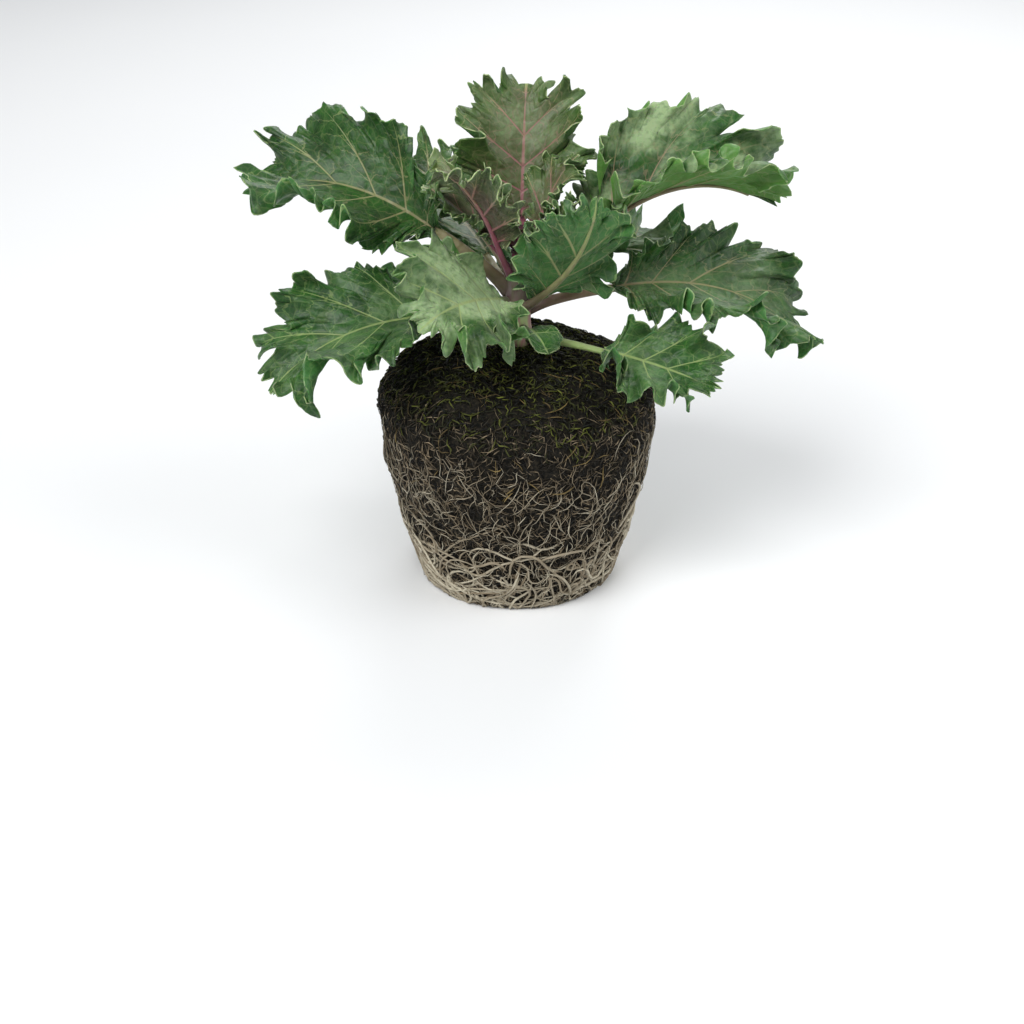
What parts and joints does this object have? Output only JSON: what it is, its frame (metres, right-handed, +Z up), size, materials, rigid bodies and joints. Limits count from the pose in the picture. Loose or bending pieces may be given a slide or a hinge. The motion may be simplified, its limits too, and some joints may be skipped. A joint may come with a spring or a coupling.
{
  "type": "young purple kale plant with root ball",
  "caption": "Young curly kale plant out of its pot: frilled green leaves round a purple heart on a short stem, standing on a tapered root ball of dark soil netted with pale roots.",
  "frame": {"origin": "centre of the root ball's flat underside", "axes": "+Z up along the stem, -Y towards the front that the picture shows, +X to the right seen from there"},
  "size_m": [0.2149, 0.1561, 0.187],
  "materials": {
    "soil": "matt, crumbly and fibrous",
    "root": "dull cream",
    "stem": "smooth, grey purple with a waxy bloom",
    "green_leaf": "waxy, dull green with pale veins",
    "purple_leaf": "waxy, brown purple going green at the margin, pink veins",
    "heart": "crinkled dark purple"
  },
  "bodies": {
    "root": {"root_ball": "soil", "root_net": "root", "stem": "stem", "heart": "heart", "lower_leaf_1": "green_leaf", "lower_leaf_2": "green_leaf", "lower_leaf_3": "green_leaf", "lower_leaf_4": "green_leaf", "lower_leaf_5": "green_leaf", "seed_leaf": "green_leaf", "middle_leaf_1": "green_leaf", "middle_leaf_2": "green_leaf", "middle_leaf_3": "green_leaf", "middle_leaf_4": "green_leaf", "middle_leaf_5": "green_leaf", "middle_leaf_6": "green_leaf", "middle_leaf_7": "green_leaf", "inner_leaf_1": "purple_leaf", "inner_leaf_2": "purple_leaf", "inner_leaf_3": "purple_leaf", "inner_leaf_4": "purple_leaf", "inner_leaf_5": "purple_leaf"}
  },
  "joints": []
}
